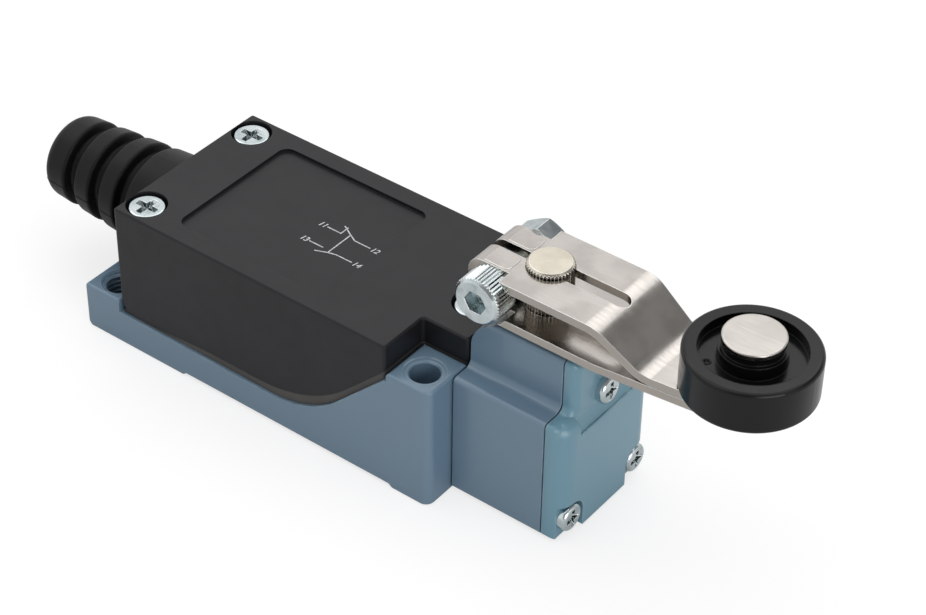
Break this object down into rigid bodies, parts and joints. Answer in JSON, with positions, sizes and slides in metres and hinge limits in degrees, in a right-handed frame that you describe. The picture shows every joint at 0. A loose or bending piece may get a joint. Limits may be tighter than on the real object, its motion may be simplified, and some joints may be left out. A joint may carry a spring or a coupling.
{
  "type": "roller lever limit switch",
  "caption": "Enclosed limit switch with a sprung roller lever, clamped on a knurled shaft, a flange-mounted body and a cable boot.",
  "frame": {"origin": "centre of the four mounting holes, on the mounting face", "axes": "+X along the body from the cable entry to the head and roller, +Y across the body, +Z out of the mounting face towards the lever"},
  "size_m": [0.1247, 0.0296, 0.0397],
  "materials": {
    "housing_paint": "glossy blue-grey paint over a die casting",
    "end_cover_paint": "glossy light blue-grey paint",
    "cover_plastic": "fine-grained black moulding",
    "gasket_rubber": "matte",
    "boot_rubber": "matte black",
    "zinc_screws": "bright zinc plating",
    "lever_steel": "satin stainless",
    "shaft_metal": "nickel plating, worn on the knurl",
    "roller_plastic": "black nylon",
    "bronze": "sintered bronze",
    "block_plastic": "dark phenolic moulding",
    "terminal_brass": "bright",
    "plunger_plastic": "white acetal",
    "spring_steel": "drawn wire"
  },
  "bodies": {
    "housing": {"base_housing": "housing_paint", "front_cover": "cover_plastic", "cover_gasket": "gasket_rubber", "cover_screws": "zinc_screws", "head_housing": "housing_paint", "head_gasket": "gasket_rubber", "head_screws": "zinc_screws", "end_gasket": "gasket_rubber", "head_end_cover": "end_cover_paint", "end_cover_screws": "zinc_screws", "shaft_bush": "bronze", "shaft_seal": "boot_rubber", "cable_boot": "boot_rubber", "switch_case": "block_plastic", "switch_floor": "block_plastic", "switch_screws": "zinc_screws", "closed_terminals": "terminal_brass", "open_terminals": "terminal_brass", "terminal_washers": "zinc_screws", "terminal_screws": "zinc_screws", "earth_screw": "zinc_screws", "earth_washer": "zinc_screws", "plunger_spring": "spring_steel", "contact_spring": "spring_steel"},
    "lever": {"lever_shaft": "shaft_metal", "lever_arm": "lever_steel", "clamp_screw": "zinc_screws", "clamp_nut": "zinc_screws", "roller_rivet": "lever_steel", "roller_washer": "lever_steel"},
    "roller_wheel": {"roller": "roller_plastic", "roller_bush": "bronze"},
    "plunger_unit": {"plunger": "plunger_plastic"},
    "contact_unit": {"contact_carrier": "plunger_plastic", "contact_bridges": "terminal_brass"}
  },
  "joints": [
    {"name": "lever_swing", "type": "hinge", "parent": "housing", "child": "lever", "pos_m": [0.03875, 0, 0.02], "axis": [0, 0, 1], "range_deg": [-70, 70], "stiffness_Nm_per_rad": 0.15},
    {"name": "roller_spin", "type": "hinge", "parent": "lever", "child": "roller_wheel", "pos_m": [0.06875, 0, 0.03443], "axis": [0, 0, 1], "continuous": true},
    {"name": "plunger_slide", "type": "slide", "parent": "housing", "child": "plunger_unit", "axis": [-1, 0, 0], "range_m": [0, 0.0017], "stiffness_N_per_m": 400, "springref_m": -0.0015, "deforming": ["plunger_spring"]},
    {"name": "contact_slide", "type": "slide", "parent": "housing", "child": "contact_unit", "axis": [-1, 0, 0], "range_m": [0, 0.0017], "stiffness_N_per_m": 150, "springref_m": -0.0015, "deforming": ["contact_spring"]}
  ],
  "couplings": [
    {"joint": "contact_slide", "follows": "plunger_slide", "ratio": 1}
  ]
}
